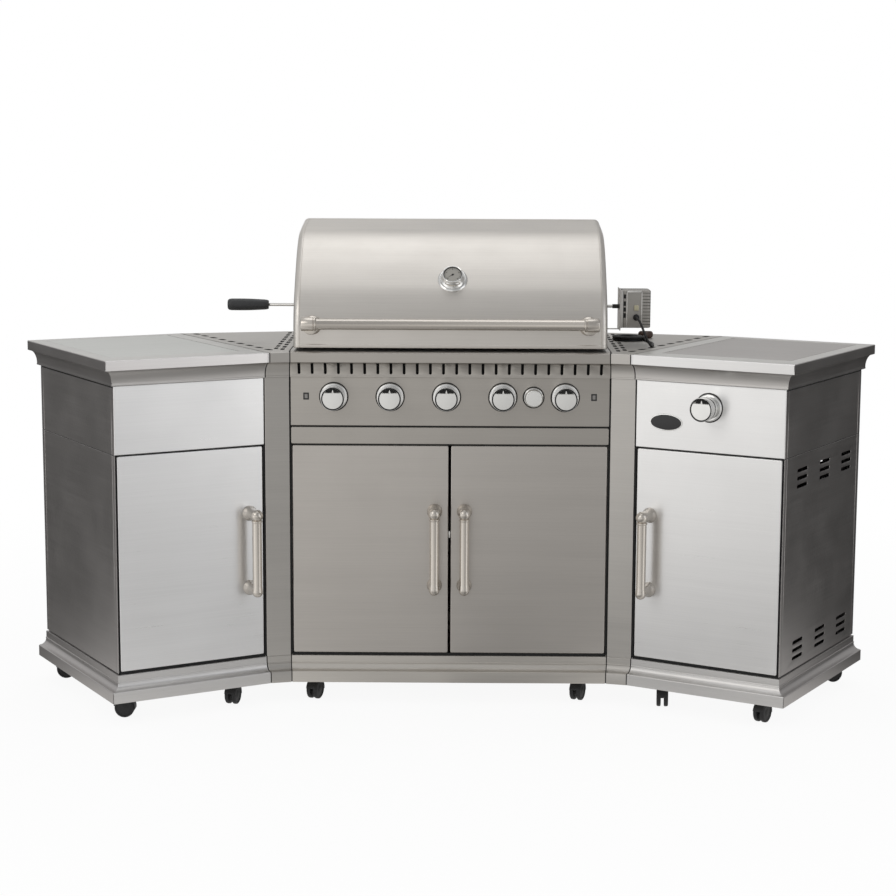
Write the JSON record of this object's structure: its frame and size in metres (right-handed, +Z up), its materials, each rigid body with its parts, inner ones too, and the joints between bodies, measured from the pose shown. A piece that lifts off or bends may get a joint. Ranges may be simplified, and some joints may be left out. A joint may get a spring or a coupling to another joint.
{
  "type": "outdoor kitchen island",
  "caption": "Outdoor kitchen island: a gas grill cabinet with a hood and rotisserie between two angled side cabinets with a lidded basin and a lidded side burner, on casters.",
  "frame": {"origin": "on the floor, under the middle of the whole island's bounding box", "axes": "+Z up, +X to the right of someone who stands in front, +Y to the rear"},
  "size_m": [2.236, 0.8104, 1.2295],
  "materials": {
    "brushed_steel": "brushed along the width, satin",
    "pale_steel": "fine brushed, satin, cooler in tone",
    "chrome": "polished with satin faces",
    "satin_nickel": "satin plated",
    "iron": "dark, seasoned",
    "enamel": "black enamel, satin",
    "black_plastic": "fine grained, matte",
    "cord": "matte",
    "plug": "moulded, dull"
  },
  "bodies": {
    "island": {"centre_base": "brushed_steel", "centre_carcass": "brushed_steel", "control_panel": "brushed_steel", "firebox": "brushed_steel", "burner_rail": "iron", "rear_burner": "iron", "cooking_grate": "iron", "warming_rack": "chrome", "motor_bracket": "brushed_steel", "rotisserie_motor": "brushed_steel", "motor_lead": "cord", "lead_coil": "cord", "lead_plug": "plug", "left_base": "brushed_steel", "left_carcass": "pale_steel", "left_worktop": "brushed_steel", "left_basin": "brushed_steel", "right_base": "brushed_steel", "right_carcass": "pale_steel", "right_worktop": "brushed_steel", "side_burner": "enamel", "left_corner": "brushed_steel", "right_corner": "brushed_steel"},
    "hood": {"hood": "brushed_steel", "hood_handle": "satin_nickel", "thermometer": "chrome"},
    "spit": {"spit_rod": "chrome", "spit_grip": "black_plastic", "spit_fork_left": "chrome", "spit_fork_right": "chrome"},
    "centre_left_door": {"centre_left_door": "brushed_steel", "centre_left_handle": "satin_nickel"},
    "centre_right_door": {"centre_right_door": "brushed_steel", "centre_right_handle": "satin_nickel"},
    "left_door": {"left_door": "pale_steel", "left_handle": "satin_nickel"},
    "right_door": {"right_door": "pale_steel", "right_handle": "satin_nickel"},
    "burner_knob_1": {"burner_knob_1": "chrome"},
    "burner_knob_2": {"burner_knob_2": "chrome"},
    "burner_knob_3": {"burner_knob_3": "chrome"},
    "burner_knob_4": {"burner_knob_4": "chrome"},
    "burner_knob_5": {"burner_knob_5": "chrome"},
    "side_knob": {"side_knob": "chrome"},
    "igniter_button": {"igniter_button": "chrome"},
    "left_lid": {"left_lid": "pale_steel"},
    "right_lid": {"right_lid": "pale_steel"},
    "grease_tray": {"grease_tray": "brushed_steel"},
    "centre_front_left_caster": {"centre_front_left_caster": "black_plastic"},
    "centre_front_right_caster": {"centre_front_right_caster": "black_plastic"},
    "centre_rear_left_caster": {"centre_rear_left_caster": "black_plastic"},
    "centre_rear_right_caster": {"centre_rear_right_caster": "black_plastic"},
    "left_front_left_caster": {"left_front_left_caster": "black_plastic"},
    "left_front_right_caster": {"left_front_right_caster": "black_plastic"},
    "left_rear_left_caster": {"left_rear_left_caster": "black_plastic"},
    "left_rear_right_caster": {"left_rear_right_caster": "black_plastic"},
    "right_front_left_caster": {"right_front_left_caster": "black_plastic"},
    "right_front_right_caster": {"right_front_right_caster": "black_plastic"},
    "right_rear_left_caster": {"right_rear_left_caster": "black_plastic"},
    "right_rear_right_caster": {"right_rear_right_caster": "black_plastic"}
  },
  "joints": [
    {"name": "hood_hinge", "type": "hinge", "parent": "island", "child": "hood", "pos_m": [0, 0.27221, 0.936], "axis": [-1, 0, 0], "range_deg": [0, 85]},
    {"name": "centre_left_door_hinge", "type": "hinge", "parent": "island", "child": "centre_left_door", "pos_m": [-0.3923, -0.13979, 0.4], "axis": [0, 0, -1], "range_deg": [0, 110]},
    {"name": "centre_right_door_hinge", "type": "hinge", "parent": "island", "child": "centre_right_door", "pos_m": [0.3923, -0.13979, 0.4], "axis": [0, 0, 1], "range_deg": [0, 110]},
    {"name": "left_door_hinge", "type": "hinge", "parent": "island", "child": "left_door", "pos_m": [-0.80789, -0.35147, 0.4], "axis": [0, 0, -1], "range_deg": [0, 110]},
    {"name": "right_door_hinge", "type": "hinge", "parent": "island", "child": "right_door", "pos_m": [0.80789, -0.35147, 0.4], "axis": [0, 0, 1], "range_deg": [0, 110]},
    {"name": "burner_knob_1_turn", "type": "hinge", "parent": "island", "child": "burner_knob_1", "pos_m": [-0.294, -0.14679, 0.796], "axis": [0, -1, 0], "range_deg": [0, 180]},
    {"name": "burner_knob_2_turn", "type": "hinge", "parent": "island", "child": "burner_knob_2", "pos_m": [-0.1515, -0.14679, 0.796], "axis": [0, -1, 0], "range_deg": [0, 180]},
    {"name": "burner_knob_3_turn", "type": "hinge", "parent": "island", "child": "burner_knob_3", "pos_m": [-0.009, -0.14679, 0.796], "axis": [0, -1, 0], "range_deg": [0, 180]},
    {"name": "burner_knob_4_turn", "type": "hinge", "parent": "island", "child": "burner_knob_4", "pos_m": [0.1335, -0.14679, 0.796], "axis": [0, -1, 0], "range_deg": [0, 180]},
    {"name": "burner_knob_5_turn", "type": "hinge", "parent": "island", "child": "burner_knob_5", "pos_m": [0.291, -0.14679, 0.796], "axis": [0, -1, 0], "range_deg": [0, 180]},
    {"name": "side_knob_turn", "type": "hinge", "parent": "island", "child": "side_knob", "pos_m": [0.64221, -0.26274, 0.787], "axis": [-0.5, -0.866, 0], "range_deg": [0, 180]},
    {"name": "igniter_press", "type": "slide", "parent": "island", "child": "igniter_button", "axis": [0, 1, 0], "range_m": [0, 0.005], "stiffness_N_per_m": 400},
    {"name": "spit_turn", "type": "hinge", "parent": "island", "child": "spit", "pos_m": [0, 0.08421, 1.009], "axis": [1, 0, 0], "continuous": true},
    {"name": "left_lid_hinge", "type": "hinge", "parent": "island", "child": "left_lid", "pos_m": [-0.91744, 0.17649, 0.91], "axis": [-0.866, -0.5, 0], "range_deg": [0, 95]},
    {"name": "right_lid_hinge", "type": "hinge", "parent": "island", "child": "right_lid", "pos_m": [0.91744, 0.17649, 0.91], "axis": [-0.866, 0.5, 0], "range_deg": [0, 95]},
    {"name": "grease_tray_slide", "type": "slide", "parent": "island", "child": "grease_tray", "axis": [0, 1, 0], "range_m": [0, 0.3]},
    {"name": "centre_front_left_caster_swivel", "type": "hinge", "parent": "island", "child": "centre_front_left_caster", "pos_m": [-0.341, -0.09379, 0.03], "axis": [0, 0, 1], "continuous": true},
    {"name": "centre_front_right_caster_swivel", "type": "hinge", "parent": "island", "child": "centre_front_right_caster", "pos_m": [0.341, -0.09379, 0.03], "axis": [0, 0, 1], "continuous": true},
    {"name": "centre_rear_left_caster_swivel", "type": "hinge", "parent": "island", "child": "centre_rear_left_caster", "pos_m": [-0.341, 0.34221, 0.03], "axis": [0, 0, 1], "continuous": true},
    {"name": "centre_rear_right_caster_swivel", "type": "hinge", "parent": "island", "child": "centre_rear_right_caster", "pos_m": [0.341, 0.34221, 0.03], "axis": [0, 0, 1], "continuous": true},
    {"name": "left_front_left_caster_swivel", "type": "hinge", "parent": "island", "child": "left_front_left_caster", "pos_m": [-0.7966, -0.29183, 0.03], "axis": [0, 0, 1], "continuous": true},
    {"name": "left_front_right_caster_swivel", "type": "hinge", "parent": "island", "child": "left_front_right_caster", "pos_m": [-0.55108, -0.15008, 0.03], "axis": [0, 0, 1], "continuous": true},
    {"name": "left_rear_left_caster_swivel", "type": "hinge", "parent": "island", "child": "left_rear_left_caster", "pos_m": [-1.0146, 0.08576, 0.03], "axis": [0, 0, 1], "continuous": true},
    {"name": "left_rear_right_caster_swivel", "type": "hinge", "parent": "island", "child": "left_rear_right_caster", "pos_m": [-0.76908, 0.22751, 0.03], "axis": [0, 0, 1], "continuous": true},
    {"name": "right_front_left_caster_swivel", "type": "hinge", "parent": "island", "child": "right_front_left_caster", "pos_m": [0.55108, -0.15008, 0.03], "axis": [0, 0, 1], "continuous": true},
    {"name": "right_front_right_caster_swivel", "type": "hinge", "parent": "island", "child": "right_front_right_caster", "pos_m": [0.7966, -0.29183, 0.03], "axis": [0, 0, 1], "continuous": true},
    {"name": "right_rear_left_caster_swivel", "type": "hinge", "parent": "island", "child": "right_rear_left_caster", "pos_m": [0.76908, 0.22751, 0.03], "axis": [0, 0, 1], "continuous": true},
    {"name": "right_rear_right_caster_swivel", "type": "hinge", "parent": "island", "child": "right_rear_right_caster", "pos_m": [1.0146, 0.08576, 0.03], "axis": [0, 0, 1], "continuous": true}
  ]
}
